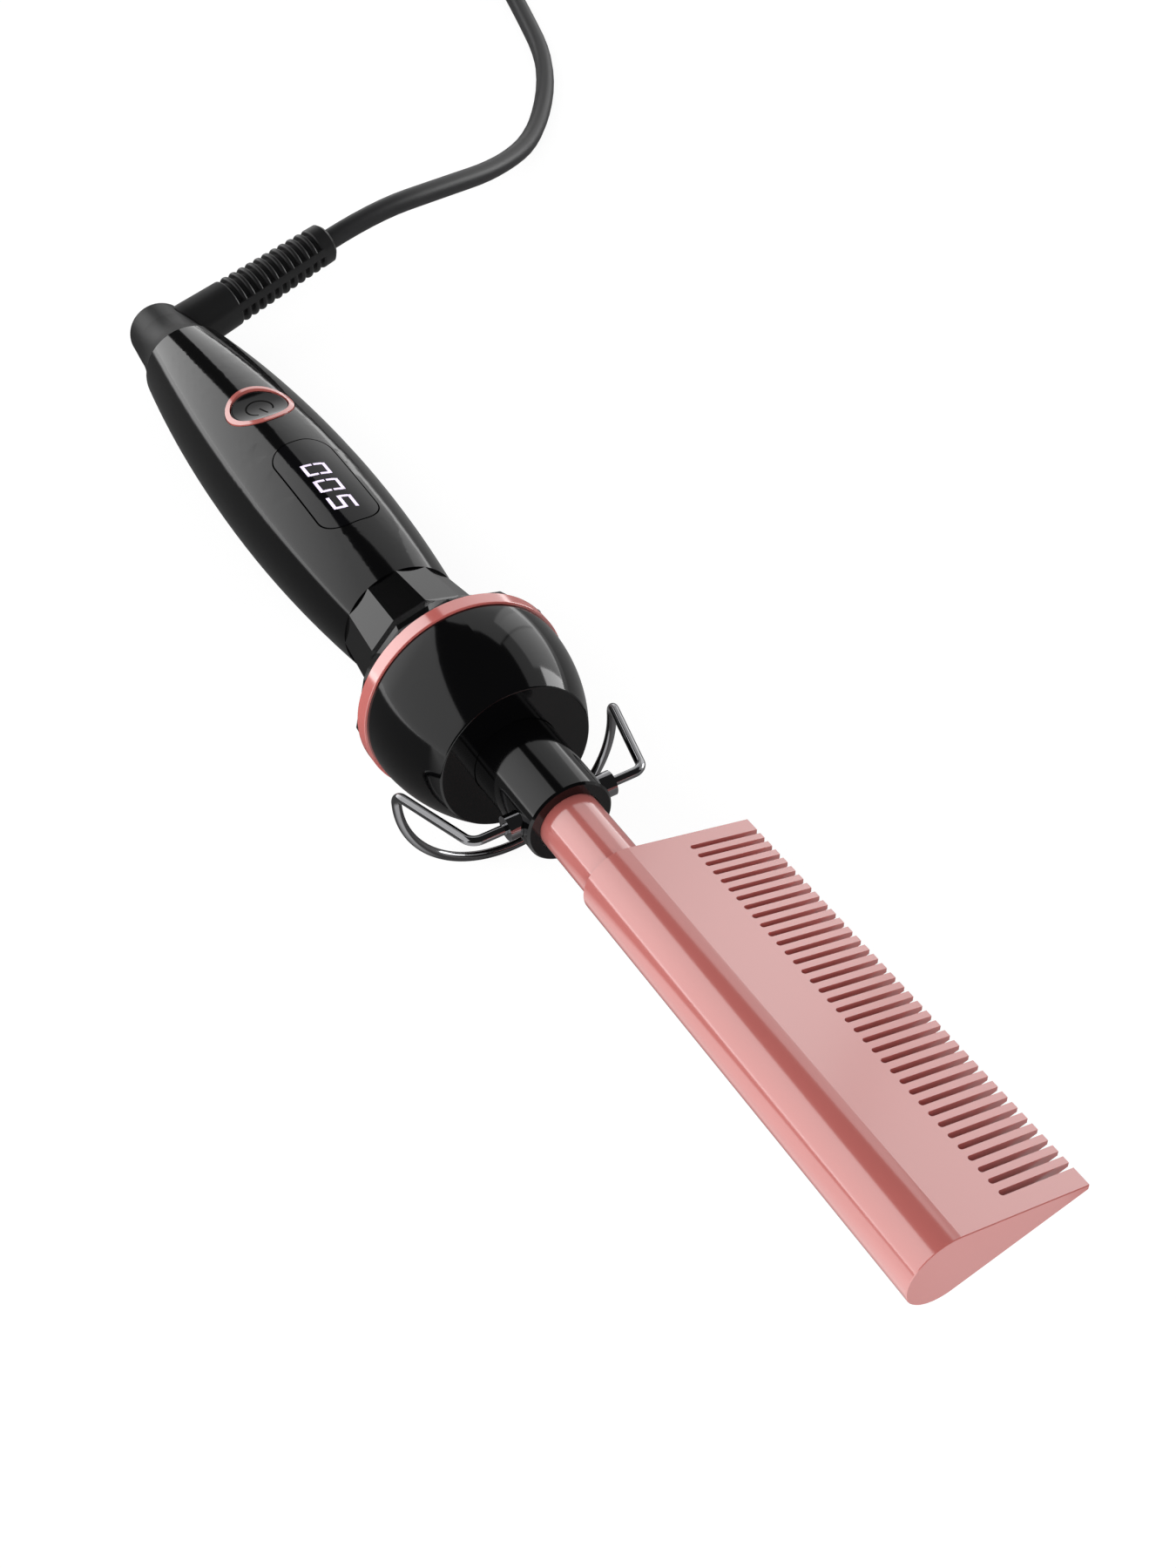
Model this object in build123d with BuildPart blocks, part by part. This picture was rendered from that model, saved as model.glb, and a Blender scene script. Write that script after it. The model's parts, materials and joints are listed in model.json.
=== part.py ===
from build123d import *
from math import acos, atan2, cos, degrees, hypot, pi, radians, sin, sqrt, tan
import os

os.makedirs("parts", exist_ok=True)

# Hot straightening comb, in millimetres.
# It stands on a table at Z = 0, on its wire stand and on the belly of its handle, comb end raised.
# Sizes are measured along the handle's axis, where x = 0 is the front face of the heat guard.
# There x runs to the comb's free end, y to the teeth, and z to the side with the display.

# Comb head: spine, blade and neck in one casting
comb_length = 86.2
spine_radius = 6.9
tooth_reach = 25.4
tooth_tip = 1.0
slot_pitch = 2.25
slot_width = 0.98
slot_depth = 13.6
first_slot = 3.49
last_land = 3.9
head_chamfer = 0.12
neck_radius = 5.78
neck_reach = 15.8
neck_flange_radius = 7.6
neck_flange_width = 2.0
neck_stub = 4.5

# Heater and temperature probe inside the head
heater_radius = 3.1
heater_tip_land = 9.0
probe_radius = 0.75
probe_length = 46.0
probe_offset = 4.35

# Collar, ceramic bush and retaining plate
collar_radius = 8.3
collar_length = 19.05
collar_lip = 2.0
collar_flange_radius = 9.4
collar_flange_width = 2.0
collar_chamfer = 0.4
bush_wall = 1.2
plate_radius = 14.2
plate_thickness = 1.2
plate_boss_radius = 2.2
plate_boss_circle = 11.9
plate_screw_count = 3

# Heat guard, trim ring and faceted cuff
guard_depth = 18.8
guard_rim_radius = 20.0
guard_face_radius = 14.9
guard_wall = 2.2
guard_front_wall = 3.0
guard_edge_round = 0.5
ring_radius = 20.5
ring_width = 2.9
ring_seat_depth = 1.4
ring_round = 0.12
cuff_length = 23.2
cuff_sides = 12
cuff_flange_radius = 20.6
cuff_flange_edge = 0.6
cuff_waist_radius = 13.5
cuff_waist = 12.5
cuff_flare_radius = 16.4
cuff_flare = 17.0
cuff_bore = 8.0
cuff_mouth_radius = 16.0
spigot_length = 4.0

# Handle shells
handle_length = 106.3
handle_front_radius = 12.03
handle_belly_radius = 14.9
belly_share = 0.4243
handle_rear_radius = 10.46
shell_wall = 2.2
split_drop = 5.6
cover_screw_inset = 8.0
screw_head_radius = 2.2
screw_head_height = 1.3
screw_shank_radius = 1.1
screw_boss_radius = 2.4
cover_boss_radius = 3.4
cover_head_sink = 3.2
cover_boss_drop = 4.0
cover_screw_rear = 15.2
screw_grip = 6.0

# Display window and its module
window_length = 29.9
window_width = 12.9
window_corner = 5.0
window_front_share = 0.1486
window_depth = 3.71
window_seam = 0.3
module_length = 24.0
module_width = 10.2
module_height = 5.18
board_thickness = 1.6
board_width = 15.0
board_front_inset = 12.4
board_rear_room = 13.9

# Power button
button_share = 0.5898
bezel_radius = 7.3
bezel_width = 1.15
bezel_proud = 0.25
bezel_depth = 3.93
button_sink = 0.35
button_seam = 0.2
button_dish = 0.7
button_dish_radius = 20.0
button_flange = 0.9
button_flange_height = 0.9
button_nub_radius = 1.5
button_nub = 0.4
button_travel = 0.4
switch_body = 6.0
switch_height = 2.1
plunger_radius = 1.7

# Power parts under the board
capacitor_length = 13.0
capacitor_width = 7.0
capacitor_height = 8.0
capacitor_round = 1.0
triac_length = 10.0
triac_width = 4.6
triac_height = 8.6
triac_inset = 14.7
fuse_radius = 2.0
fuse_length = 10.5
lead_radius = 0.8
lead_bend = 6.0
lead_overlap = 5.0

# Swivel at the tail
tail_gap = 0.3
tail_front_radius = 10.3
tail_cone = 12.0
tail_barrel_radius = 7.65
tail_end_radius = 7.0
tail_length = 20.6
tail_round = 2.0
tail_bow = 0.5
spindle_radius = 3.9
spindle_bore = 2.4
carrier_width = 7.0
clip_radius = 5.4
clip_thickness = 0.8
clip_bore = 3.4
clip_mouth = 5.0
spindle_grip = 6.0

# Strain relief on the swivel, and where it leaves
relief_station = 13.55
relief_back_angle = 12.5
relief_lift_angle = 8.3
relief_reach = 47.5
relief_root_radius = 5.85
relief_tip_radius = 4.75
relief_smooth = 18.2
relief_rib_pitch = 2.4
relief_groove_count = 11
relief_groove_depth = 1.25
relief_groove_share = 0.5
relief_rib_crown = 0.4
relief_web = 1.8
relief_web_angle = 81.0
relief_plug_radius = 4.2
relief_plug_depth = 4.4
relief_chamfer = 0.8

# Wire stand
wire_radius = 0.9
wire_bend = 2.4
pivot_station = 15.15
pivot_rise = 0.7
pivot_stud_radius = 2.3
pivot_stud_reach = 10.5
pivot_stud_sink = 1.0
stand_shoulder = 16.9
stand_leg_back = 4.0
stand_corner_drop = 0.9
stand_arc_drop = 3.8
stand_arc_radius = 22.0

# Mains cord and plug
cord_diameter = 5.0
cord_straight = 15.0
coil_clearance = 0.5
coil_outer_radius = 39.6
coil_half_turns = 8
coil_heading = 151.64
coil_entry = (-301.3, 172.9)
coil_lead_in = 25.0
tie_thickness = 0.8
tie_width = 9.0
plug_length = 33.0
plug_width = 23.0
plug_thickness = 16.6
plug_corner = 3.5
plug_neck_length = 13.0
plug_neck_radius = 4.6
blade_length = 17.0
blade_width = 6.35
blade_thickness = 1.5
blade_spacing = 12.7

# Where the cord lies, as points on the table's frame
lead_lay = (
    (-160.0, 81.0, 12.6),
    (-169.5, 103.0, 6.6),
    (-184.0, 122.5, 2.6),
    (-213.0, 143.0, 2.6),
    (-245.0, 152.0, 2.6),
)
tail_lay = ((-368.5, 131.0, 8.6), (-372.0, 107.0, 8.3), (-367.5, 87.0, 8.3))

# Clearances
fit_gap = 0.12
run_gap = 0.08
move_gap = 0.3
overrun = 5.0
same = 0.001
corner_share = 0.45
coil_points = 1500

# Stations along the axis, all from the sizes above
collar_front = collar_length
comb_rear = collar_front + neck_reach
comb_tip = comb_rear + comb_length
ring_front = -guard_depth
ring_rear = ring_front - ring_width
cuff_rear = ring_rear - cuff_length
shell_front = cuff_rear
handle_belly = handle_length * belly_share
belly_station = shell_front - handle_belly
shell_rear = shell_front - handle_length
tail_front = shell_rear - tail_gap
tail_rear = tail_front - tail_length
relief_root = tail_front - relief_station
collar_rear = -guard_front_wall - collar_flange_width
neck_flange_front = collar_rear - fit_gap
neck_flange_rear = neck_flange_front - neck_flange_width
neck_rear = neck_flange_rear - neck_stub
plate_front = neck_flange_rear - fit_gap
plate_rear = plate_front - plate_thickness
board_front = shell_front - board_front_inset
carrier_front = shell_rear + carrier_width
board_rear = carrier_front + board_rear_room
button_station = shell_front - handle_length * button_share
window_front = shell_front - handle_length * window_front_share
window_station = window_front - window_length / 2
window_rear = window_front - window_length
heater_tip = comb_tip - heater_tip_land
pivot_x = pivot_station
stand_x = -stand_leg_back


def arc_radius(run, drop):
    """Radius of an arc that starts level and falls by drop over run."""
    return (run**2 + drop**2) / (2 * drop)


# The floor touches the stand's wire and the rear of the handle's belly: one line tangent to both.
belly_arc = arc_radius(handle_length - handle_belly, handle_belly_radius - handle_rear_radius)
wire_low = -(stand_arc_drop + stand_arc_radius)
foot_run = stand_x - belly_station
foot_drop = wire_low - (belly_arc - handle_belly_radius)
pitch = atan2(foot_run, foot_drop) - acos((wire_radius - belly_arc) / hypot(foot_run, foot_drop))
floor_drop = stand_x * sin(pitch) + wire_low * cos(pitch) - wire_radius
row_front = comb_tip * cos(pitch) + spine_radius * sin(pitch)
row_rear = (tail_rear + tail_round) * cos(pitch) - (tail_end_radius - tail_round) * sin(pitch) - tail_round
row_side = (tooth_reach - stand_arc_radius - wire_radius) / 2
lie = Plane(
    origin=(-(row_front + row_rear) / 2, -row_side, -floor_drop),
    x_dir=(cos(pitch), 0, sin(pitch)),
    z_dir=(-sin(pitch), 0, cos(pitch)),
)
axis = Axis(lie.origin, lie.x_dir)
print(f"pitch {degrees(pitch):.3f} degrees, guard face centre at {lie.origin}")


def spot(x, y=0.0, z=0.0):
    """A place given along the handle's axis, in the standing frame."""
    return lie.from_local_coords(Vector(x, y, z))


def across(x):
    """Plane square to the axis at x: its own x runs to the teeth, its own y to the display."""
    return Plane(origin=spot(x), x_dir=lie.y_dir, z_dir=lie.x_dir)


def level(z):
    """Plane along the comb at height z above the axis."""
    return Plane(origin=spot(0, 0, z), x_dir=lie.x_dir, z_dir=lie.z_dir)


def upright(y=0.0):
    """Lengthwise plane through the axis: its own x runs to the tip, its own y to the display."""
    return Plane(origin=spot(0, y), x_dir=lie.x_dir, z_dir=-lie.y_dir)


def save(piece, name):
    """Label a finished piece and write it under its own name."""
    piece.part.label = name
    export_step(piece.part, f"parts/{name}.step")


def rims(radius):
    """Round edges of the current piece with this radius."""
    return edges().filter_by(lambda e: e.geom_type == GeomType.CIRCLE and abs(e.radius - radius) < same)


def handle_radius(x, inset=0.0):
    """Outer radius of the round handle at x, less inset."""
    if x > belly_station:
        bow = arc_radius(handle_belly, handle_belly_radius - handle_front_radius)
    else:
        bow = belly_arc
    return handle_belly_radius - bow + sqrt(bow**2 - (x - belly_station) ** 2) - inset


def handle_outline(inset):
    """Closed lengthwise outline of the handle's body, its skin moved in by inset."""
    front = (shell_front, handle_front_radius - inset)
    belly = (belly_station, handle_belly_radius - inset)
    rear = (shell_rear, handle_rear_radius - inset)
    TangentArc(belly, front, tangent=(1, 0))
    Polyline(front, (shell_front, 0), (shell_rear, 0), rear)
    TangentArc(belly, rear, tangent=(-1, 0))


# Comb head
blade_angle = atan2(tooth_tip / 2, tooth_reach) + acos(spine_radius / hypot(tooth_reach, tooth_tip / 2))
slot_count = int((comb_length - first_slot - last_land) / slot_pitch) + 1
slot_middle = comb_rear + first_slot + (slot_count - 1) * slot_pitch / 2
with BuildPart() as comb_head:
    with BuildSketch(across(comb_rear)):
        with BuildLine():
            CenterArc((0, 0), spine_radius, degrees(blade_angle), 360 - 2 * degrees(blade_angle))
            spine_top = (spine_radius * cos(blade_angle), spine_radius * sin(blade_angle))
            spine_bottom = (spine_top[0], -spine_top[1])
            Polyline(spine_top, (tooth_reach, tooth_tip / 2), (tooth_reach, -tooth_tip / 2), spine_bottom)
        make_face()
    extrude(amount=comb_length)
    ends = faces().filter_by(Axis(lie.origin, lie.x_dir))
    chamfer(ends.edges(), head_chamfer)
    with BuildSketch(level(0)):
        with Locations((slot_middle, tooth_reach)):
            with GridLocations(slot_pitch, slot_pitch, slot_count, 1):
                SlotOverall(2 * slot_depth, slot_width, rotation=90)
    extrude(amount=spine_radius, both=True, mode=Mode.SUBTRACT)
    with BuildSketch(across(neck_rear)):
        Circle(neck_radius)
    extrude(amount=comb_rear - neck_rear)
    with BuildSketch(across(neck_flange_rear)):
        Circle(neck_flange_radius)
    extrude(amount=neck_flange_width)
    with BuildSketch(across(neck_rear)):
        Circle(heater_radius + fit_gap)
    extrude(amount=heater_tip - neck_rear, mode=Mode.SUBTRACT)
    with BuildSketch(across(neck_rear)):
        with Locations((0, -probe_offset)):
            Circle(probe_radius + fit_gap)
    extrude(amount=probe_length, mode=Mode.SUBTRACT)
save(comb_head, "comb_head")

with BuildPart() as heater_rod:
    with BuildSketch(across(neck_rear)):
        Circle(heater_radius)
    extrude(amount=heater_tip - fit_gap - neck_rear)
save(heater_rod, "heater_rod")

with BuildPart() as temperature_probe:
    with BuildSketch(across(neck_rear)):
        with Locations((0, -probe_offset)):
            Circle(probe_radius)
    extrude(amount=probe_length - fit_gap)
save(temperature_probe, "temperature_probe")

# Collar with its flange behind the guard's face
bush_radius = neck_radius + fit_gap + bush_wall
with BuildPart() as heat_collar:
    with BuildSketch(upright()):
        with BuildLine():
            Polyline(
                (collar_rear, bush_radius + fit_gap),
                (collar_rear, collar_flange_radius),
                (collar_rear + collar_flange_width, collar_flange_radius),
                (collar_rear + collar_flange_width, collar_radius),
                (collar_front - collar_chamfer, collar_radius),
                (collar_front, collar_radius - collar_chamfer),
                (collar_front, neck_radius + 2 * fit_gap),
                (collar_front - collar_lip, neck_radius + 2 * fit_gap),
                (collar_front - collar_lip, bush_radius + fit_gap),
                close=True,
            )
        make_face()
    revolve(axis=axis)
    with BuildSketch(upright()):
        with Locations((pivot_x, pivot_rise)):
            Circle(pivot_stud_radius + fit_gap)
    extrude(amount=collar_radius + overrun, both=True, mode=Mode.SUBTRACT)
save(heat_collar, "heat_collar")

with BuildPart() as ceramic_bush:
    with BuildSketch(across(collar_rear)):
        Circle(bush_radius)
        Circle(neck_radius + fit_gap, mode=Mode.SUBTRACT)
    extrude(amount=collar_front - collar_lip - fit_gap - collar_rear)
save(ceramic_bush, "ceramic_bush")

# Heat guard: a bowl with a rebate for the trim ring and bosses for the retaining plate
boss_places = PolarLocations(plate_boss_circle, plate_screw_count, start_angle=90)
with BuildPart() as heat_guard:
    with BuildSketch(upright()):
        with BuildLine():
            rim = (ring_front, guard_rim_radius)
            face_edge = (0, guard_face_radius)
            bowl = TangentArc(rim, face_edge, tangent=(1, 0))
            Polyline(
                face_edge,
                (0, collar_radius + fit_gap),
                (-guard_front_wall, collar_radius + fit_gap),
                (-guard_front_wall, guard_face_radius - guard_wall),
            )
            TangentArc(
                (ring_front, guard_rim_radius - guard_wall - ring_seat_depth),
                (-guard_front_wall, guard_face_radius - guard_wall),
                tangent=(1, 0),
            )
            Polyline(
                (ring_front, guard_rim_radius - guard_wall - ring_seat_depth),
                (ring_rear, guard_rim_radius - guard_wall - ring_seat_depth),
                (ring_rear, guard_rim_radius - ring_seat_depth),
                (ring_front, guard_rim_radius - ring_seat_depth),
                rim,
            )
        make_face()
    revolve(axis=axis)
    fillet(rims(guard_face_radius), guard_edge_round)
    with BuildSketch(across(-guard_front_wall)):
        with boss_places:
            Circle(plate_boss_radius)
    extrude(amount=plate_front + guard_front_wall)
    with BuildSketch(across(plate_front)):
        with boss_places:
            Circle(screw_shank_radius + fit_gap / 2)
    extrude(amount=guard_front_wall + neck_flange_width, mode=Mode.SUBTRACT)
save(heat_guard, "heat_guard")

with BuildPart() as retaining_plate:
    with BuildSketch(across(plate_rear)):
        Circle(plate_radius)
        Circle(neck_radius + fit_gap, mode=Mode.SUBTRACT)
        with boss_places:
            Circle(screw_shank_radius + fit_gap, mode=Mode.SUBTRACT)
    extrude(amount=plate_thickness)
save(retaining_plate, "retaining_plate")

with BuildPart() as plate_screws:
    with BuildSketch(across(plate_rear)):
        with boss_places:
            Circle(screw_head_radius)
    extrude(amount=-screw_head_height)
    with BuildSketch(across(plate_rear)):
        with boss_places:
            Circle(screw_shank_radius)
    extrude(amount=plate_thickness + guard_front_wall)
save(plate_screws, "plate_screws")

with BuildPart() as trim_ring:
    with BuildSketch(upright()):
        ring_depth = ring_radius - guard_rim_radius + ring_seat_depth - fit_gap
        with Locations((ring_front, ring_radius)):
            Rectangle(ring_width, ring_depth, align=(Align.MAX, Align.MAX))
    revolve(axis=axis)
    fillet(rims(ring_radius), ring_round)
save(trim_ring, "trim_ring")

# Faceted cuff, flared to a flange that backs the trim ring
cuff_stations = (
    (cuff_rear, handle_front_radius),
    (cuff_rear + cuff_waist, cuff_waist_radius),
    (cuff_rear + cuff_flare, cuff_flare_radius),
    (ring_rear - cuff_flange_edge, cuff_flange_radius),
    (ring_rear, cuff_flange_radius),
)
spigot_radius = handle_front_radius - shell_wall - fit_gap
with BuildPart() as faceted_cuff:
    for station, corner_radius in cuff_stations:
        with BuildSketch(across(station)):
            RegularPolygon(corner_radius, cuff_sides)
    loft(ruled=True)
    with BuildSketch(across(cuff_rear)):
        Circle(spigot_radius)
    extrude(amount=-spigot_length)
    with BuildSketch(upright()):
        with BuildLine():
            Polyline(
                (cuff_rear - spigot_length, 0),
                (cuff_rear - spigot_length, cuff_bore),
                (cuff_rear + cuff_waist, cuff_bore),
                (ring_rear, cuff_mouth_radius),
                (ring_rear, 0),
                close=True,
            )
        make_face()
    revolve(axis=axis, mode=Mode.SUBTRACT)
save(faceted_cuff, "faceted_cuff")

# Heights in the handle, taken in from its skin: the window's and the bezel's undersides, and the board
window_floor = handle_radius(window_station, window_depth)
bezel_floor = handle_radius(button_station, bezel_depth)
board_top = window_floor - fit_gap - module_height
board_bottom = board_top - board_thickness

# The handle's skin and hollow, as whole solids that the pieces below are cut from
with BuildPart() as handle_skin:
    with BuildSketch(upright()):
        with BuildLine():
            handle_outline(0)
        make_face()
    revolve(axis=axis)

with BuildPart() as handle_hollow:
    with BuildSketch(upright()):
        with BuildLine():
            handle_outline(shell_wall)
        make_face()
    revolve(axis=axis)

# Upper shell: it wraps past half way, with the display and button openings and the screw bosses
cover_screw_places = [shell_front - cover_screw_inset, shell_rear + cover_screw_rear]
board_screw_places = [
    (window_rear + button_station + bezel_radius) / 2,
    (board_rear + button_station - bezel_radius) / 2,
]
with BuildPart() as handle_upper:
    add(handle_skin)
    add(handle_hollow, mode=Mode.SUBTRACT)
    split(bisect_by=level(-split_drop), keep=Keep.TOP)
    for station in board_screw_places:
        with BuildSketch(level(board_top)):
            with Locations((station, 0)):
                Circle(screw_boss_radius)
        extrude(amount=handle_radius(station, shell_wall / 2) - board_top)
    for station in cover_screw_places:
        with BuildSketch(level(-cover_boss_drop)):
            with Locations((station, 0)):
                Circle(screw_boss_radius)
        extrude(amount=handle_radius(station, shell_wall / 2) + cover_boss_drop)
    with BuildSketch(level(board_top)):
        with Locations([(station, 0) for station in board_screw_places]):
            Circle(screw_shank_radius + fit_gap / 2)
    extrude(amount=screw_grip, mode=Mode.SUBTRACT)
    with BuildSketch(level(-cover_boss_drop)):
        with Locations([(station, 0) for station in cover_screw_places]):
            Circle(screw_shank_radius + fit_gap / 2)
    extrude(amount=screw_grip + fit_gap, mode=Mode.SUBTRACT)
    with BuildSketch(level(board_top)):
        with Locations((window_station, 0)):
            RectangleRounded(window_length, window_width, window_corner)
        with Locations((button_station, 0)):
            Circle(bezel_radius)
    extrude(amount=handle_belly_radius, mode=Mode.SUBTRACT)
save(handle_upper, "handle_upper")

# Lower cover with sunk screws on the underside
with BuildPart() as handle_lower:
    add(handle_skin)
    add(handle_hollow, mode=Mode.SUBTRACT)
    split(bisect_by=level(-split_drop - fit_gap), keep=Keep.BOTTOM)
    for station in cover_screw_places:
        with BuildSketch(level(-cover_boss_drop - fit_gap)):
            with Locations((station, 0)):
                Circle(cover_boss_radius)
        extrude(amount=cover_boss_drop + fit_gap - handle_radius(station, shell_wall / 2))
    for station in cover_screw_places:
        with BuildSketch(level(-handle_radius(station, cover_head_sink))):
            with Locations((station, 0)):
                Circle(screw_head_radius + 2 * fit_gap)
        extrude(amount=-cover_head_sink - overrun, mode=Mode.SUBTRACT)
        with BuildSketch(level(-cover_boss_drop - fit_gap)):
            with Locations((station, 0)):
                Circle(screw_shank_radius + fit_gap)
        extrude(amount=-handle_belly_radius, mode=Mode.SUBTRACT)
save(handle_lower, "handle_lower")

with BuildPart() as cover_screws:
    for station in cover_screw_places:
        seat = -handle_radius(station, cover_head_sink)
        with BuildSketch(level(seat)):
            with Locations((station, 0)):
                Circle(screw_head_radius)
        extrude(amount=-screw_head_height)
        with BuildSketch(level(seat)):
            with Locations((station, 0)):
                Circle(screw_shank_radius)
        extrude(amount=screw_grip - cover_boss_drop - seat)
save(cover_screws, "cover_screws")

# Display window: a smoked lens flush with the skin
with BuildPart() as display_window:
    with BuildSketch(level(window_floor)):
        with Locations((window_station, 0)):
            RectangleRounded(
                window_length - 2 * window_seam,
                window_width - 2 * window_seam,
                window_corner - window_seam,
            )
    extrude(amount=handle_belly_radius)
    add(handle_skin, mode=Mode.INTERSECT)
save(display_window, "display_window")

with BuildPart() as display_module:
    with BuildSketch(level(board_top)):
        with Locations((window_station, 0)):
            Rectangle(module_length, module_width)
    extrude(amount=module_height)
save(display_module, "display_module")

# Button bezel: it follows the handle's skin and stands a little proud
with BuildPart() as button_bezel:
    with BuildSketch(upright()):
        with BuildLine():
            handle_outline(-bezel_proud)
        make_face()
    revolve(axis=axis)
    with BuildSketch(level(bezel_floor)):
        with Locations((button_station, 0)):
            Circle(bezel_radius - fit_gap)
            Circle(bezel_radius - bezel_width, mode=Mode.SUBTRACT)
    extrude(amount=handle_belly_radius, mode=Mode.INTERSECT)
save(button_bezel, "button_bezel")

# Power button: a dished cap, a flange that holds it under the bezel, and a nub over the switch
cap_radius = bezel_radius - bezel_width - button_seam
flange_top = bezel_floor - move_gap
nub_bottom = flange_top - button_flange_height - button_nub
cap_top = handle_radius(button_station, button_sink)
with BuildPart() as power_button:
    with BuildSketch(upright()):
        with BuildLine():
            handle_outline(button_sink)
        make_face()
    revolve(axis=axis)
    with BuildSketch(level(flange_top)):
        with Locations((button_station, 0)):
            Circle(cap_radius)
    extrude(amount=handle_belly_radius, mode=Mode.INTERSECT)
    with Locations(spot(button_station, 0, cap_top - button_dish + button_dish_radius)):
        Sphere(button_dish_radius, mode=Mode.SUBTRACT)
    with BuildSketch(level(flange_top)):
        with Locations((button_station, 0)):
            Circle(cap_radius + button_flange)
    extrude(amount=-button_flange_height)
    with BuildSketch(level(nub_bottom)):
        with Locations((button_station, 0)):
            Circle(button_nub_radius)
    extrude(amount=button_nub)
save(power_button, "power_button")

# Circuit board, hung from the upper shell's bosses, with its parts
with BuildPart() as circuit_board:
    with BuildSketch(level(board_bottom)):
        with Locations(((board_front + board_rear) / 2, 0)):
            Rectangle(board_front - board_rear, board_width)
        with Locations([(station, 0) for station in board_screw_places]):
            Circle(screw_shank_radius + fit_gap, mode=Mode.SUBTRACT)
    extrude(amount=board_thickness)
save(circuit_board, "circuit_board")

with BuildPart() as board_screws:
    with BuildSketch(level(board_bottom)):
        with Locations([(station, 0) for station in board_screw_places]):
            Circle(screw_head_radius)
    extrude(amount=-screw_head_height)
    with BuildSketch(level(board_bottom)):
        with Locations([(station, 0) for station in board_screw_places]):
            Circle(screw_shank_radius)
    extrude(amount=board_thickness + screw_grip - fit_gap)
save(board_screws, "board_screws")

with BuildPart() as button_switch:
    with BuildSketch(level(board_top)):
        with Locations((button_station, 0)):
            Rectangle(switch_body, switch_body)
    extrude(amount=switch_height)
    with BuildSketch(level(board_top)):
        with Locations((button_station, 0)):
            Circle(plunger_radius)
    extrude(amount=nub_bottom - button_travel - fit_gap - board_top)
save(button_switch, "button_switch")

with BuildPart() as film_capacitor:
    with BuildSketch(level(board_bottom)):
        with Locations((button_station, 0)):
            RectangleRounded(capacitor_length, capacitor_width, capacitor_round)
    extrude(amount=-capacitor_height)
save(film_capacitor, "film_capacitor")

with BuildPart() as heater_triac:
    with BuildSketch(level(board_bottom)):
        with Locations((board_front - triac_inset, 0)):
            Rectangle(triac_length, triac_width)
    extrude(amount=-triac_height)
save(heater_triac, "heater_triac")

with BuildPart() as board_fuse:
    with BuildSketch(across(window_rear)):
        with Locations((0, board_bottom - fuse_radius)):
            Circle(fuse_radius)
    extrude(amount=fuse_length)
save(board_fuse, "board_fuse")

# Wires inside: heater to board, and swivel contacts to board
lead_seat = board_bottom - lead_radius - fit_gap
heater_lead_route = (
    (neck_rear, heater_radius / 2, 0),
    ((neck_rear + cuff_rear) / 2, heater_radius / 2, 0),
    (cuff_rear - spigot_length, screw_boss_radius + 2 * lead_radius, lead_seat - lead_radius),
    (board_front - lead_overlap, screw_boss_radius + 2 * lead_radius, lead_seat),
)
terminal_reach = clip_radius + 2 * lead_radius
mains_lead_route = (
    (carrier_front, terminal_reach, 0),
    (carrier_front + lead_bend, terminal_reach, 0),
    (board_rear + lead_bend, board_width / 3, lead_seat),
    (board_rear + lead_bend + lead_overlap, board_width / 3, lead_seat),
)
for name, route in (("heater_leads", heater_lead_route), ("mains_leads", mains_lead_route)):
    with BuildPart() as leads:
        for hand in (1, -1):
            with BuildLine() as lead_line:
                FilletPolyline([spot(x, hand * y, z) for x, y, z in route], radius=lead_bend / 2)
            with BuildSketch(Plane(origin=lead_line.line @ 0, z_dir=lead_line.line % 0)):
                Circle(lead_radius)
            sweep(path=lead_line.line)
    save(leads, name)

# Swivel: a carrier fixed in the shells, and a spindle and tail that turn with the cord
with BuildPart() as swivel_carrier:
    with BuildSketch(upright()):
        with BuildLine():
            handle_outline(shell_wall + fit_gap)
        make_face()
    revolve(axis=axis)
    with BuildSketch(across(shell_rear)):
        Circle(handle_belly_radius)
        Circle(spindle_radius + run_gap, mode=Mode.SUBTRACT)
    extrude(amount=carrier_width, mode=Mode.INTERSECT)
save(swivel_carrier, "swivel_carrier")

spindle_rear = tail_front - spindle_grip
clip_rear = carrier_front + move_gap
spindle_front = clip_rear + 2 * clip_thickness
with BuildPart() as swivel_spindle:
    with BuildSketch(upright()):
        with BuildLine():
            Polyline(
                (spindle_rear, spindle_bore),
                (spindle_rear, spindle_radius),
                (clip_rear - fit_gap / 2, spindle_radius),
                (clip_rear - fit_gap / 2, clip_bore - fit_gap),
                (clip_rear + clip_thickness + fit_gap / 2, clip_bore - fit_gap),
                (clip_rear + clip_thickness + fit_gap / 2, spindle_radius),
                (spindle_front, spindle_radius),
                (spindle_front, spindle_bore),
                close=True,
            )
        make_face()
    revolve(axis=axis)
save(swivel_spindle, "swivel_spindle")

with BuildPart() as spindle_clip:
    with BuildSketch(across(clip_rear)):
        Circle(clip_radius)
        Circle(clip_bore, mode=Mode.SUBTRACT)
        with Locations((0, clip_radius)):
            Rectangle(clip_mouth, 2 * clip_radius, mode=Mode.SUBTRACT)
    extrude(amount=clip_thickness)
save(spindle_clip, "spindle_clip")


def tail_outline(inset):
    """Closed lengthwise outline of the swivel's tail, its skin moved in by inset."""
    shoulder = (tail_front - tail_cone, tail_barrel_radius - inset)
    SagittaArc((tail_front, tail_front_radius - inset), shoulder, tail_bow)
    end_corner = (tail_rear + tail_round, tail_end_radius - inset)
    Line(shoulder, end_corner)
    end_middle = (tail_rear + inset, tail_end_radius - tail_round)
    RadiusArc(end_corner, end_middle, -(tail_round - inset))
    Polyline(end_middle, (tail_rear + inset, 0), (tail_front, 0), (tail_front, tail_front_radius - inset))


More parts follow.
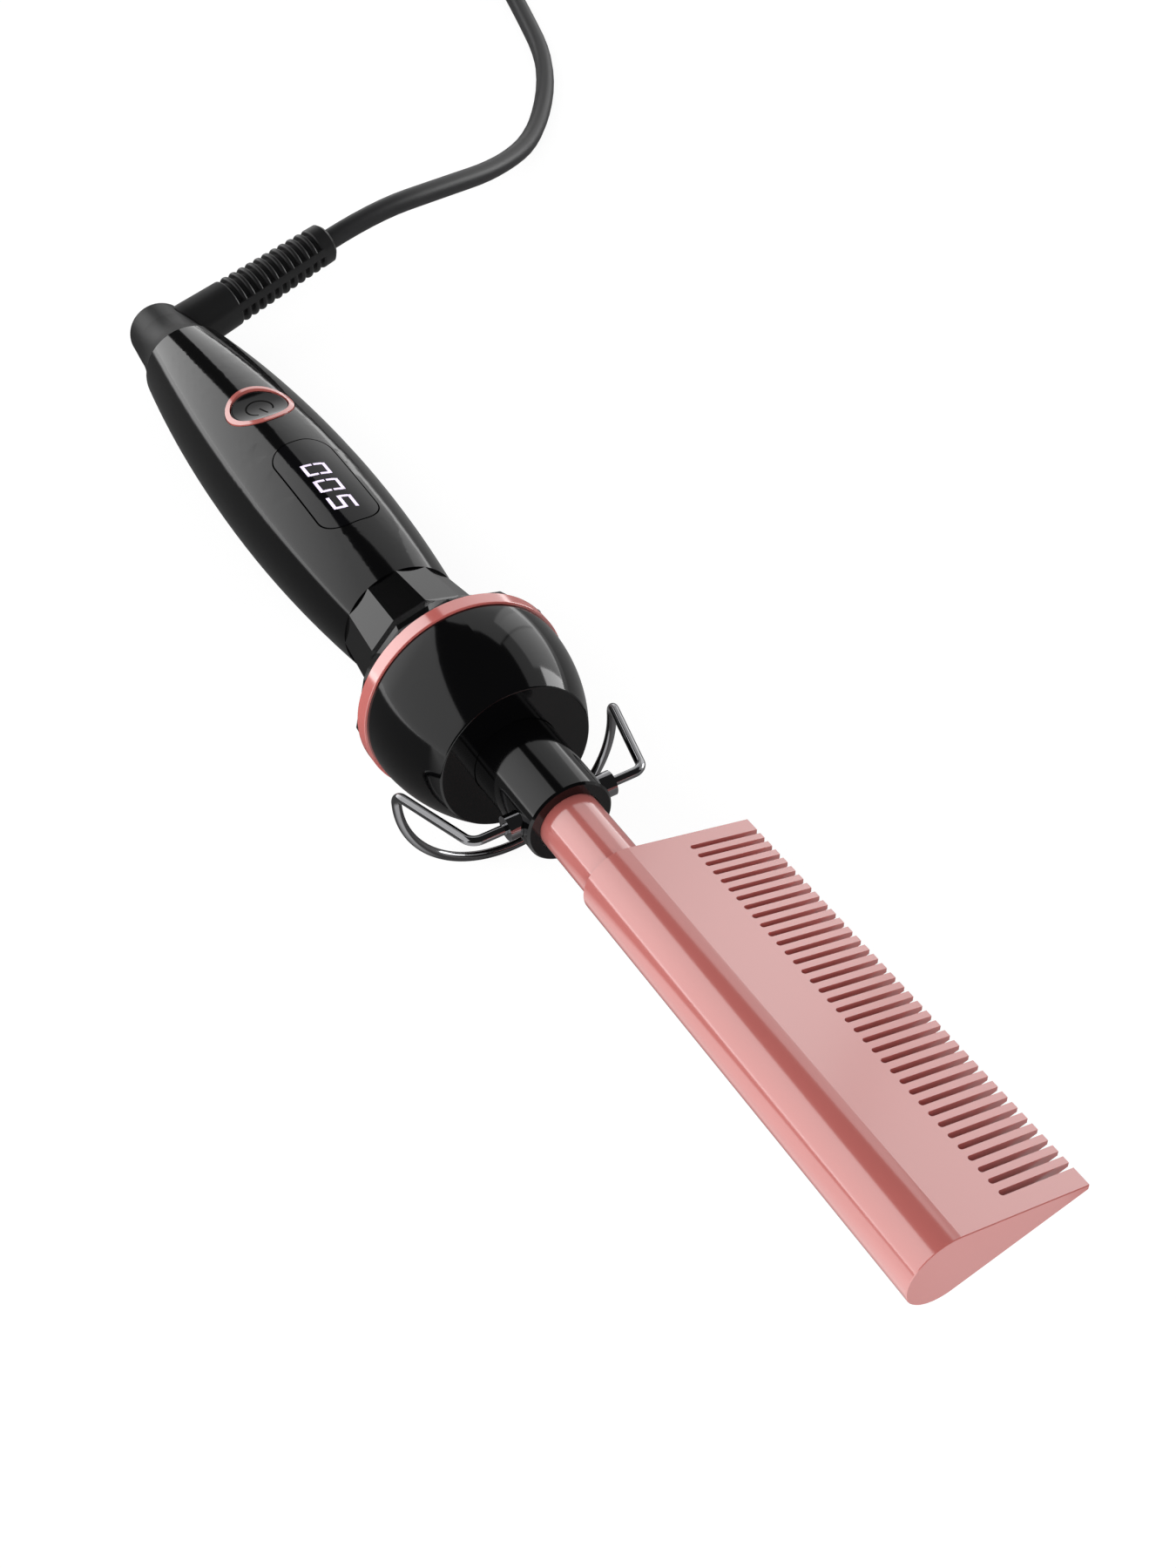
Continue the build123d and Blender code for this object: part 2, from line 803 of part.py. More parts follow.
# Strain relief: it leaves the tail's side, swept back and lifted a little
back = radians(relief_back_angle)
lift = radians(relief_lift_angle)
relief_way = lie.x_dir * -sin(back) + lie.y_dir * cos(back) * cos(lift) + lie.z_dir * cos(back) * sin(lift)
relief_start = spot(relief_root)
relief_axis = Axis(relief_start, relief_way)
relief_plane = Plane(origin=relief_start, x_dir=relief_way, z_dir=relief_way.cross(lie.x_dir))


def relief_across(s):
    """Plane square to the strain relief at s from the handle's axis."""
    return Plane(origin=relief_start + relief_way * s, x_dir=relief_plane.z_dir, z_dir=relief_way)


with BuildPart() as swivel_tail:
    with BuildSketch(upright()):
        with BuildLine():
            tail_outline(0)
        make_face()
    revolve(axis=axis)
    with BuildSketch(across(spindle_rear)):
        Circle(spindle_radius + fit_gap / 2)
    extrude(amount=spindle_grip + overrun, mode=Mode.SUBTRACT)
    with BuildSketch(relief_across(0)):
        Circle(relief_plug_radius + fit_gap)
    extrude(amount=tail_front_radius + overrun, mode=Mode.SUBTRACT)
save(swivel_tail, "swivel_tail")


def relief_radius(s):
    """Radius of the relief's tapered body at s from the handle's axis."""
    return relief_root_radius + (relief_tip_radius - relief_root_radius) * (s - tail_end_radius) / (
        relief_reach - tail_end_radius
    )


# The grooves that make it bend: two webs along its sides keep them from running right round
with BuildPart() as relief_grooves:
    groove_width = relief_rib_pitch * relief_groove_share
    half_rib = (relief_rib_pitch - groove_width) / 2
    with BuildSketch(relief_plane):
        for groove in range(relief_groove_count):
            near = relief_smooth + groove * relief_rib_pitch
            far = near + groove_width
            floor = relief_radius(near) - relief_groove_depth
            shoulder = relief_radius(near) - relief_rib_crown
            rise = relief_radius(near - half_rib)
            fall = relief_radius(far + half_rib)
            with BuildLine():
                TangentArc((near - half_rib, rise), (near, shoulder), tangent=(1, 0))
                Polyline((near, shoulder), (near, floor), (far, floor), (far, shoulder))
                TangentArc((far + half_rib, fall), (far, shoulder), tangent=(-1, 0))
                Polyline(
                    (far + half_rib, fall),
                    (far + half_rib, relief_root_radius),
                    (near - half_rib, relief_root_radius),
                    (near - half_rib, rise),
                )
            make_face()
    revolve(axis=relief_axis)
    with BuildSketch(relief_across(0)):
        Rectangle(2 * tail_front_radius, relief_web, rotation=relief_web_angle)
    extrude(amount=relief_reach, mode=Mode.SUBTRACT)

with BuildPart() as strain_relief:
    with BuildSketch(relief_plane):
        with BuildLine():
            Polyline(
                (relief_plug_depth, 0),
                (relief_plug_depth, relief_root_radius),
                (tail_end_radius, relief_root_radius),
                (relief_reach - relief_chamfer, relief_tip_radius),
                (relief_reach, relief_tip_radius - relief_chamfer),
                (relief_reach, 0),
                close=True,
            )
        make_face()
    revolve(axis=relief_axis)
    add(relief_grooves, mode=Mode.SUBTRACT)
    with BuildSketch(upright()):
        with BuildLine():
            tail_outline(-fit_gap)
        make_face()
    revolve(axis=axis, mode=Mode.SUBTRACT)
    with BuildSketch(relief_across(relief_plug_depth)):
        Circle(relief_plug_radius)
    extrude(amount=tail_front_radius)
save(strain_relief, "strain_relief")

# Wire stand: its ends turn in two studs on the collar
with BuildPart() as stand_studs:
    for hand in (1, -1):
        with BuildSketch(upright(hand * (collar_radius - pivot_stud_sink))):
            with Locations((pivot_x, pivot_rise)):
                Circle(pivot_stud_radius)
        extrude(amount=-hand * (pivot_stud_reach - collar_radius + pivot_stud_sink))
    with BuildSketch(upright()):
        with Locations((pivot_x, pivot_rise)):
            Circle(wire_radius + run_gap)
    extrude(amount=pivot_stud_reach + overrun, both=True, mode=Mode.SUBTRACT)
save(stand_studs, "stand_studs")

with BuildPart() as stand_wire:
    with BuildLine() as wire_line:
        wire_ends = []
        for hand in (1, -1):
            side = [
                spot(pivot_x, hand * collar_radius, pivot_rise),
                spot(pivot_x, hand * stand_shoulder, pivot_rise),
                spot(stand_x, hand * stand_arc_radius, -stand_corner_drop),
                spot(stand_x, hand * stand_arc_radius, -stand_arc_drop),
            ]
            FilletPolyline(side, radius=[wire_bend, wire_bend])
            wire_ends.append(side[-1])
        ThreePointArc(wire_ends[0], spot(stand_x, 0, wire_low), wire_ends[1])
    with BuildSketch(Plane(origin=spot(pivot_x, collar_radius, pivot_rise), z_dir=lie.y_dir)):
        Circle(wire_radius)
    sweep(path=wire_line.line)
save(stand_wire, "stand_wire")


def corner_radii(points):
    """The largest arcs that turn a cord's corners within their runs."""
    runs = [after - before for before, after in zip(points, points[1:])]
    radii = []
    for before, after in zip(runs, runs[1:]):
        half_turn = radians(before.get_angle(after)) / 2
        radii.append(corner_share * min(before.length, after.length) / tan(half_turn))
    print("cord radii", [round(radius, 1) for radius in radii])
    return radii


# The coil's frame on the table: the cord enters it moving ahead, and its turns lie to that way's left
ahead = Vector(cos(radians(coil_heading)), sin(radians(coil_heading)), 0)
inward = Vector(-ahead.Y, ahead.X, 0)
turn_step = (cord_diameter + coil_clearance) / 2
coil_low = tie_thickness + coil_clearance / 2 + cord_diameter / 2
turn_radii = [coil_outer_radius - turn_step * turn for turn in range(coil_half_turns)]
entry = Vector(coil_entry[0], coil_entry[1], coil_low)
coil_start = entry - ahead * cord_diameter

relief_end = relief_start + relief_way * relief_reach
lead_points = [relief_end, relief_end + relief_way * cord_straight]
lead_points += [Vector(*place) for place in lead_lay]
lead_points += [coil_start - ahead * coil_lead_in, coil_start]
with BuildPart() as cord_lead:
    with BuildLine() as lead_line:
        FilletPolyline(lead_points, radius=corner_radii(lead_points))
    with BuildSketch(Plane(origin=relief_end, z_dir=relief_way)):
        Circle(cord_diameter / 2)
    sweep(path=lead_line.line)
save(cord_lead, "cord_lead")

# Coil: half turns spiral in, one climbs a layer, and half turns spiral out again to a last quarter
with BuildPart() as cord_coil:
    with BuildLine() as coil_line:
        Line(coil_start, entry)
        here = entry
        side = 1
        for radius in turn_radii:
            there = here + inward * (2 * side * radius)
            ThreePointArc(here, (here + there) / 2 + ahead * (side * radius), there)
            here = there
            side = -side
        climb = inward * (2 * (turn_radii[-1] - turn_step)) + Vector(0, 0, 2 * turn_step)
        ThreePointArc(here, here + climb / 2 + ahead * (climb.length / 2), here + climb)
        here = here + climb
        side = -side
        for radius in turn_radii[:0:-1]:
            there = here + inward * (2 * side * radius)
            ThreePointArc(here, (here + there) / 2 + ahead * (side * radius), there)
            here = there
            side = -side
        middle = here + inward * coil_outer_radius
        slant = (ahead - inward) * (coil_outer_radius / sqrt(2))
        ThreePointArc(here, middle + slant, middle + ahead * coil_outer_radius)
        coil_end = middle + ahead * coil_outer_radius + inward * cord_diameter
        Line(middle + ahead * coil_outer_radius, coil_end)
    with BuildSketch(Plane(origin=coil_start, z_dir=ahead)):
        Circle(cord_diameter / 2)
    sweep(path=coil_line.line)
save(cord_coil, "cord_coil")

# Least gap from the coil to itself, on points along it more than a quarter turn apart
coil_path = coil_line.wire()
coil_run = coil_path.length
trace = [coil_path @ (place / coil_points) for place in range(coil_points + 1)]
apart = int(coil_points * turn_radii[-1] / coil_run) + 1
nearest = min(
    (one - other).length
    for place, one in enumerate(trace)
    for other in trace[place + apart :]
)
print("coil least gap", round(nearest - cord_diameter, 3), "length", round(coil_run, 1))

tail_points = [coil_end, coil_end + inward * cord_straight] + [Vector(*place) for place in tail_lay]
with BuildPart() as cord_tail:
    with BuildLine() as tail_line:
        FilletPolyline(tail_points, radius=corner_radii(tail_points))
    with BuildSketch(Plane(origin=coil_end, z_dir=inward)):
        Circle(cord_diameter / 2)
    sweep(path=tail_line.line)
save(cord_tail, "cord_tail")

cord_section = pi * cord_diameter**2 / 4
cord_run = 0
for piece, line in ((cord_lead, lead_line), (cord_coil, coil_line), (cord_tail, tail_line)):
    run = line.wire().length
    cord_run += run
    fullness = piece.part.volume / (cord_section * run)
    print("cord piece", round(run, 1), "volume over section times length", round(fullness, 4))
print("cord from relief to plug", round(cord_run, 1))

# Tie around the coil's bundle of turns
tie_outer = turn_radii[1] + cord_diameter / 2 + move_gap
tie_inner = sqrt((turn_radii[-1] - cord_diameter / 2) ** 2 - (tie_width / 2 + turn_step) ** 2) - move_gap
tie_height = 2 * turn_step + cord_diameter + coil_clearance
tie_place = entry + inward * coil_outer_radius - ahead * ((tie_outer + tie_inner) / 2) + Vector(0, 0, turn_step)
with BuildPart() as cord_tie:
    with BuildSketch(Plane(origin=tie_place, x_dir=ahead, z_dir=-inward)):
        RectangleRounded(
            tie_outer - tie_inner + 2 * tie_thickness,
            tie_height + 2 * tie_thickness,
            cord_diameter / 2 + tie_thickness,
        )
        RectangleRounded(tie_outer - tie_inner, tie_height, cord_diameter / 2, mode=Mode.SUBTRACT)
    extrude(amount=tie_width / 2, both=True)
save(cord_tie, "cord_tie")

# Plug, lying beside the coil
plug_way = (tail_points[-1] - tail_points[-2]).normalized()


def plug_across(s):
    """Upright plane across the plug at s from the end of its cord."""
    return Plane(origin=tail_points[-1] + plug_way * s, x_dir=Vector(0, 0, 1).cross(plug_way), z_dir=plug_way)


with BuildPart() as plug_body:
    with BuildSketch(plug_across(0)):
        Circle(plug_neck_radius)
    extrude(amount=plug_neck_length / 2)
    with BuildSketch(plug_across(plug_neck_length / 2)):
        RectangleRounded(2 * plug_neck_radius, 2 * plug_neck_radius, plug_corner)
    with BuildSketch(plug_across(plug_neck_length)):
        RectangleRounded(plug_width, plug_thickness, plug_corner)
    loft()
    with BuildSketch(plug_across(plug_neck_length)):
        RectangleRounded(plug_width, plug_thickness, plug_corner)
    extrude(amount=plug_length)
save(plug_body, "plug_body")

with BuildPart() as plug_blades:
    with BuildSketch(plug_across(plug_neck_length + plug_length)):
        with GridLocations(blade_spacing, blade_spacing, 2, 1):
            Rectangle(blade_thickness, blade_width)
    extrude(amount=blade_length)
save(plug_blades, "plug_blades")
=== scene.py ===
import json
import math

import bmesh
import bpy
from mathutils import Matrix, Vector


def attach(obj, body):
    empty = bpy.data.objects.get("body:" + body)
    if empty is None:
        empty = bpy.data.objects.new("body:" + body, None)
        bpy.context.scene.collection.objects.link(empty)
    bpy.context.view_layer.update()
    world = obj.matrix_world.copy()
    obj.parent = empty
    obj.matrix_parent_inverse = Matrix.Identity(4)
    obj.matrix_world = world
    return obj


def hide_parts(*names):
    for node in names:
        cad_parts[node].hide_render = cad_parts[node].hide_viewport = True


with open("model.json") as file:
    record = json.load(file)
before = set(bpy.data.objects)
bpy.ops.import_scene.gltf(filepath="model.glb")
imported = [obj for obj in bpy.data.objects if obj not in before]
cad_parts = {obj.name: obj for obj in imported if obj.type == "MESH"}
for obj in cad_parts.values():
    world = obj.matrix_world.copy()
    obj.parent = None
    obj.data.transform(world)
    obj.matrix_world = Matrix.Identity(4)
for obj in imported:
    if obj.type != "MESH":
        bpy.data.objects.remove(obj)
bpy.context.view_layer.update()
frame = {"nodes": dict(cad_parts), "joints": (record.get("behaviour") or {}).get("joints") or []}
nodes = frame["nodes"]

# Camera: above and in front of the comb's free end, looking back along the comb to the handle and
# the cord, through a 44 mm lens.
camera_place = Vector((0.22027, -0.10954, 0.28147))
camera_back = Vector((0.548, -0.347, 0.7605)).normalized()
camera_across = Vector((0.510, 0.860, 0.024))
camera_up = camera_back.cross(camera_across).normalized()
camera_right = camera_up.cross(camera_back)
camera_turn = Matrix((camera_right, camera_up, camera_back)).transposed().to_4x4()
camera_data = bpy.data.cameras.new("camera")
camera_data.sensor_fit = "VERTICAL"
camera_data.sensor_height = 36
camera_data.lens = 44.0
camera_data.clip_start = 0.01
camera = bpy.data.objects.new("camera", camera_data)
bpy.context.scene.collection.objects.link(camera)
camera.matrix_world = Matrix.Translation(camera_place) @ camera_turn
bpy.context.scene.camera = camera

# Comb head: spine, toothed blade and neck, cast in one piece of aluminium and coated in a satin
# rose lacquer. Its neck is bolted behind the guard.
gloss_spread = 0.15


def finish(name, dark, light, roughness, patch, grain, depth, metallic=0.0, ior=1.5, sheen=0.0):
    """A real surface: its colour and gloss drift in patches, and a fine grain breaks the light.

    Patch and grain say how many of them lie in a metre, and depth is how deep the grain goes.
    """
    material = bpy.data.materials.new(name)
    material.use_nodes = True
    tree = material.node_tree
    shader = tree.nodes["Principled BSDF"]
    shader.inputs["Metallic"].default_value = metallic
    shader.inputs["IOR"].default_value = ior
    shader.inputs["Sheen Weight"].default_value = sheen
    where = tree.nodes.new("ShaderNodeTexCoord").outputs["Object"]
    drift = tree.nodes.new("ShaderNodeTexNoise")
    drift.inputs["Scale"].default_value = patch
    drift.inputs["Detail"].default_value = 3
    tree.links.new(where, drift.inputs["Vector"])
    colour = tree.nodes.new("ShaderNodeMix")
    colour.data_type = "RGBA"
    colour.inputs[6].default_value = (*dark, 1)
    colour.inputs[7].default_value = (*light, 1)
    tree.links.new(drift.outputs["Fac"], colour.inputs[0])
    tree.links.new(colour.outputs[2], shader.inputs["Base Color"])
    polish = tree.nodes.new("ShaderNodeMapRange")
    polish.inputs["To Min"].default_value = roughness * (1 - gloss_spread)
    polish.inputs["To Max"].default_value = roughness * (1 + gloss_spread)
    tree.links.new(drift.outputs["Fac"], polish.inputs["Value"])
    tree.links.new(polish.outputs["Result"], shader.inputs["Roughness"])
    pores = tree.nodes.new("ShaderNodeTexNoise")
    pores.inputs["Scale"].default_value = grain
    pores.inputs["Detail"].default_value = 3
    tree.links.new(where, pores.inputs["Vector"])
    bump = tree.nodes.new("ShaderNodeBump")
    bump.inputs["Strength"].default_value = 0.6
    bump.inputs["Distance"].default_value = depth
    tree.links.new(pores.outputs["Fac"], bump.inputs["Height"])
    tree.links.new(bump.outputs["Normal"], shader.inputs["Normal"])
    return material


def dress(material, *names):
    """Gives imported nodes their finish."""
    for name in names:
        mesh = nodes[name].data
        mesh.materials.clear()
        mesh.materials.append(material)


rose_lacquer = finish(
    "comb_rose", dark=(0.57, 0.148, 0.131), light=(0.63, 0.165, 0.147),
    roughness=0.14, patch=40, grain=1500, depth=0.000003, ior=2.8, sheen=0.1,
)
dress(rose_lacquer, "comb_head")

# Heater and probe: a fired ceramic rod and a steel sensor that slide into the head's bores from
# behind, with the ceramic bush that keeps the hot neck off the plastic.
fired = finish(
    "fired_ceramic", dark=(0.74, 0.71, 0.65), light=(0.88, 0.86, 0.81),
    roughness=0.55, patch=120, grain=1600, depth=0.00004,
)
steel = finish(
    "mild_steel", dark=(0.40, 0.40, 0.42), light=(0.58, 0.58, 0.60),
    roughness=0.32, patch=220, grain=1400, depth=0.00002, metallic=1.0,
)
dress(fired, "heater_rod", "ceramic_bush")
dress(steel, "temperature_probe")

# Collar and guard: two gloss black plastic mouldings, polished in the mould. A steel plate behind
# the guard, with three screws, holds the comb's neck to it.
gloss_black = finish(
    "gloss_black", dark=(0.0012, 0.0012, 0.0014), light=(0.0028, 0.0028, 0.0030),
    roughness=0.085, patch=30, grain=140, depth=0.0000005,
)
dress(gloss_black, "heat_collar", "heat_guard")
dress(steel, "retaining_plate", "plate_screws")

# Wire rest: spring steel wire, bent to two legs and an arc and plated in dark nickel. Its ends turn
# in two studs of the same finish, one on each side of the collar.
nickel = finish(
    "dark_nickel", dark=(0.27, 0.27, 0.28), light=(0.36, 0.36, 0.37),
    roughness=0.07, patch=150, grain=1600, depth=0.000002, metallic=1.0,
)
dress(nickel, "stand_wire", "stand_studs")

# Trim ring: a flat aluminium band with a satin rose coat, like the comb's. It is let in between the
# guard and the cuff.
ring_coat = finish(
    "ring_rose", dark=(0.68, 0.160, 0.142), light=(0.74, 0.180, 0.159),
    roughness=0.12, patch=50, grain=1400, depth=0.000003, ior=3.3,
)
dress(ring_coat, "trim_ring")

# Handle: a faceted cuff and two gloss black shells, which two steel screws close from below. A
# smoked plastic window lies flush in the upper shell.
dress(gloss_black, "faceted_cuff", "handle_upper", "handle_lower")
dress(steel, "cover_screws")
smoked = finish(
    "smoked_window", dark=(0.0012, 0.0012, 0.0018), light=(0.0026, 0.0026, 0.0034),
    roughness=0.070, patch=30, grain=120, depth=0.0000005,
)
dress(smoked, "display_window")

# Electronics: a green glass-fibre board, hung on two screws in the upper shell, with the display,
# the switch and the power parts, and the heat-proof leads to the heater and to the swivel.
board_green = finish(
    "board_green", dark=(0.010, 0.085, 0.035), light=(0.020, 0.140, 0.060),
    roughness=0.35, patch=400, grain=900, depth=0.00003,
)
dress(board_green, "circuit_board")
dress(steel, "board_screws")
dress(fired, "board_fuse")
component = finish(
    "component_black", dark=(0.012, 0.012, 0.013), light=(0.030, 0.030, 0.032),
    roughness=0.55, patch=300, grain=1800, depth=0.00005,
)
dress(component, "button_switch", "heater_triac")
dipped = finish(
    "dipped_red", dark=(0.24, 0.018, 0.014), light=(0.38, 0.035, 0.025),
    roughness=0.30, patch=200, grain=700, depth=0.00004,
)
dress(dipped, "film_capacitor")
module_grey = finish(
    "module_grey", dark=(0.30, 0.29, 0.33), light=(0.46, 0.45, 0.50),
    roughness=0.55, patch=300, grain=1500, depth=0.00003,
)
dress(module_grey, "display_module")
sleeve = finish(
    "glass_sleeve", dark=(0.34, 0.31, 0.26), light=(0.56, 0.52, 0.45),
    roughness=0.80, patch=900, grain=2600, depth=0.0001,
)
dress(sleeve, "heater_leads", "mains_leads")

# Lit digits: the display's three seven-segment figures. They glow through the smoked window, so
# they are drawn as thin lit strokes that follow its curve.
swivel_joint = next(joint for joint in frame["joints"] if joint["name"] == "cord_swivel")
swivel_station = -0.1515
along = Vector(swivel_joint["axis"]).normalized()
toothward = Vector((0, 1, 0))
upward = along.cross(toothward)
guard_face = Vector(swivel_joint["pos_m"]) - along * swivel_station
tool_place = Matrix((along, toothward, upward)).transposed().to_4x4()
tool_place.translation = guard_face
handle_belly = -0.0900
belly_radius = 0.0149
front_bow = 0.3558
rear_bow = 0.4240
digit_width = 0.0041
digit_height = 0.0047
digit_lean = 0.0013
digit_starts = (-0.0821, -0.07615, -0.0702)
stroke = 0.00064
stroke_gap = 0.00036
stroke_lift = 0.00003
level_length = digit_width - stroke / 4
upright_length = (digit_height - stroke) / 2 - stroke_gap
# Each segment's middle, as shares of the digit's width and height, and its quarter turns
segment_places = {
    "top": (0.5, 1.0, 0),
    "middle": (0.5, 0.5, 0),
    "bottom": (0.5, 0.0, 0),
    "upper_left": (0.0, 0.75, 1),
    "lower_left": (0.0, 0.25, 1),
    "upper_right": (1.0, 0.75, 1),
    "lower_right": (1.0, 0.25, 1),
}
zero = ("top", "bottom", "upper_left", "lower_left", "upper_right", "lower_right")
five = ("top", "middle", "bottom", "upper_left", "lower_right")


def node_tree(name, inputs):
    """An empty geometry tree with named sizes as its inputs."""
    tree = bpy.data.node_groups.new(name, "GeometryNodeTree")
    tree.interface.new_socket("Geometry", in_out="INPUT", socket_type="NodeSocketGeometry")
    for label in inputs:
        tree.interface.new_socket(label, in_out="INPUT", socket_type="NodeSocketFloat")
    tree.interface.new_socket("Geometry", in_out="OUTPUT", socket_type="NodeSocketGeometry")
    return tree, tree.nodes.new("NodeGroupInput"), tree.nodes.new("NodeGroupOutput")


def grow(name, points, tree, values):
    """Runs a geometry tree over points and returns what grew on them as a plain mesh object."""
    seed = bpy.data.meshes.new(name)
    seed.from_pydata(points, [], [])
    carrier = bpy.data.objects.new(name + "_points", seed)
    bpy.context.scene.collection.objects.link(carrier)
    modifier = carrier.modifiers.new("grow", "NODES")
    modifier.node_group = tree
    for item in tree.interface.items_tree:
        if item.in_out == "INPUT" and item.name in values:
            modifier[item.identifier] = values[item.name]
    depsgraph = bpy.context.evaluated_depsgraph_get()
    grown = bpy.data.meshes.new_from_object(carrier.evaluated_get(depsgraph))
    carrier.modifiers.remove(modifier)
    bpy.data.objects.remove(carrier)
    piece = bpy.data.objects.new(name, grown)
    bpy.context.scene.collection.objects.link(piece)
    return piece


def skin_radius(x):
    """The handle's radius at x, on its two long bows either side of the belly."""
    bow = front_bow if x > handle_belly else rear_bow
    return belly_radius - bow + math.sqrt(bow**2 - (x - handle_belly) ** 2)


def turn_up(mesh):
    """Makes every face of a flat mark look up, out of the tool."""
    mesh.normal_update()
    for face in mesh.faces:
        if face.normal.z < 0:
            face.normal_flip()


def mesh_object(name, mesh, material):
    """Makes one object of a finished mesh and its material."""
    data = bpy.data.meshes.new(name)
    mesh.to_mesh(data)
    mesh.free()
    data.materials.append(material)
    piece = bpy.data.objects.new(name, data)
    bpy.context.scene.collection.objects.link(piece)
    return piece


glow = bpy.data.materials.new("lit_segment")
glow.use_nodes = True
glow_tree = glow.node_tree
glow_shader = glow_tree.nodes["Principled BSDF"]
glow_shader.inputs["Roughness"].default_value = 0.06
glow_shader.inputs["Emission Strength"].default_value = 0.64
glow_place = glow_tree.nodes.new("ShaderNodeTexCoord").outputs["Object"]
glow_drift = glow_tree.nodes.new("ShaderNodeTexNoise")
glow_drift.inputs["Scale"].default_value = 500
glow_tree.links.new(glow_place, glow_drift.inputs["Vector"])
glow_colour = glow_tree.nodes.new("ShaderNodeMix")
glow_colour.data_type = "RGBA"
glow_colour.inputs[6].default_value = (0.66, 0.57, 0.78, 1)
glow_colour.inputs[7].default_value = (0.84, 0.76, 0.93, 1)
glow_tree.links.new(glow_drift.outputs["Fac"], glow_colour.inputs[0])
glow_tree.links.new(glow_colour.outputs[2], glow_shader.inputs["Emission Color"])
glow_tree.links.new(glow_colour.outputs[2], glow_shader.inputs["Base Color"])

segment_tree, segment_in, segment_out = node_tree("digit_segments", ("Length", "Stroke", "Turn"))
bar = segment_tree.nodes.new("GeometryNodeMeshGrid")
bar.inputs["Vertices X"].default_value = 7
bar.inputs["Vertices Y"].default_value = 3
segment_tree.links.new(segment_in.outputs["Length"], bar.inputs["Size X"])
segment_tree.links.new(segment_in.outputs["Stroke"], bar.inputs["Size Y"])
spread = segment_tree.nodes.new("GeometryNodeInstanceOnPoints")
segment_tree.links.new(segment_in.outputs["Geometry"], spread.inputs["Points"])
segment_tree.links.new(bar.outputs["Mesh"], spread.inputs["Instance"])
turned = segment_tree.nodes.new("ShaderNodeCombineXYZ")
segment_tree.links.new(segment_in.outputs["Turn"], turned.inputs["Z"])
segment_tree.links.new(turned.outputs["Vector"], spread.inputs["Rotation"])
whole = segment_tree.nodes.new("GeometryNodeRealizeInstances")
segment_tree.links.new(spread.outputs["Instances"], whole.inputs["Geometry"])
lit_up = segment_tree.nodes.new("GeometryNodeSetMaterial")
lit_up.inputs["Material"].default_value = glow
segment_tree.links.new(whole.outputs["Geometry"], lit_up.inputs["Geometry"])
segment_tree.links.new(lit_up.outputs["Geometry"], segment_out.inputs["Geometry"])

digit_mesh = bmesh.new()
for start, lit in zip(digit_starts, (zero, zero, five)):
    for quarter_turns, length in ((0, level_length), (1, upright_length)):
        points = []
        for across, up, turns in (segment_places[segment] for segment in lit):
            x = start + stroke / 2 + across * (digit_width - stroke)
            y = stroke / 2 + up * (digit_height - stroke)
            if turns == quarter_turns:
                points.append((x, y, 0))
        sizes = {"Length": length, "Stroke": stroke, "Turn": math.pi / 2 * quarter_turns}
        strokes = grow("strokes", points, segment_tree, sizes)
        digit_mesh.from_mesh(strokes.data)
        bpy.data.objects.remove(strokes)
for vert in digit_mesh.verts:
    x = vert.co.x + digit_lean * vert.co.y / digit_height
    y = vert.co.y - digit_height / 2
    z = math.sqrt(skin_radius(x) ** 2 - y**2) + stroke_lift
    vert.co = tool_place @ Vector((x, y, z))
bmesh.ops.recalc_face_normals(digit_mesh, faces=digit_mesh.faces)
turn_up(digit_mesh)
display_digits = mesh_object("display_digits", digit_mesh, glow)
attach(display_digits, "comb")

# Power button: a gloss black cap in a rose plated ring, hollowed along the handle for the finger.
# Its symbol, a broken circle and a bar, is painted on the hollow in matte black.
plated_rose = finish(
    "plated_rose", dark=(0.60, 0.160, 0.140), light=(0.66, 0.180, 0.157),
    roughness=0.12, patch=90, grain=900, depth=0.000003, ior=2.8,
)
dress(plated_rose, "button_bezel")
button_station = -0.1076
button_slope = (handle_belly - button_station) / rear_bow
cap_radius = 0.00595
cap_edge = 0.00015
cap_edge_share = 0.3
cap_depth = 0.00125
cap_wall = 0.0036
cap_rings = 20
cap_steps = 96
hollow_radius = 0.0197
flat_radius = cap_radius - cap_edge


def cap_spot(x, y, drop=0.0):
    """A place on the button's hollowed cap, or under it by drop."""
    rim = skin_radius(button_station) + x * button_slope
    z = rim - cap_depth + x * x / (2 * hollow_radius) - drop
    return tool_place @ Vector((button_station + x, y, z))


cap_profile = [(flat_radius * ring / cap_rings, 0.0) for ring in range(1, cap_rings + 1)]
cap_profile += [
    (cap_radius - cap_edge * cap_edge_share, cap_edge * cap_edge_share),
    (cap_radius, cap_edge),
    (cap_radius, cap_wall),
]
cap_angles = [2 * math.pi * step / cap_steps for step in range(cap_steps)]
cap_mesh = bmesh.new()
cap_middle = cap_mesh.verts.new(cap_spot(0, 0))
cap_bottom = cap_mesh.verts.new(cap_spot(0, 0, cap_wall))
cap_loops = []
for radius, drop in cap_profile:
    loop = [(radius * math.cos(angle), radius * math.sin(angle)) for angle in cap_angles]
    cap_loops.append([cap_mesh.verts.new(cap_spot(x, y, drop)) for x, y in loop])
for step in range(cap_steps):
    after = (step + 1) % cap_steps
    cap_mesh.faces.new((cap_middle, cap_loops[0][step], cap_loops[0][after]))
    cap_mesh.faces.new((cap_bottom, cap_loops[-1][after], cap_loops[-1][step]))
    for inner, outer in zip(cap_loops, cap_loops[1:]):
        cap_mesh.faces.new((inner[step], outer[step], outer[after], inner[after]))
for face in cap_mesh.faces:
    face.smooth = True
bmesh.ops.recalc_face_normals(cap_mesh, faces=cap_mesh.faces)
button_cap = mesh_object("button_cap", cap_mesh, gloss_black)
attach(button_cap, "button")
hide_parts("power_button")

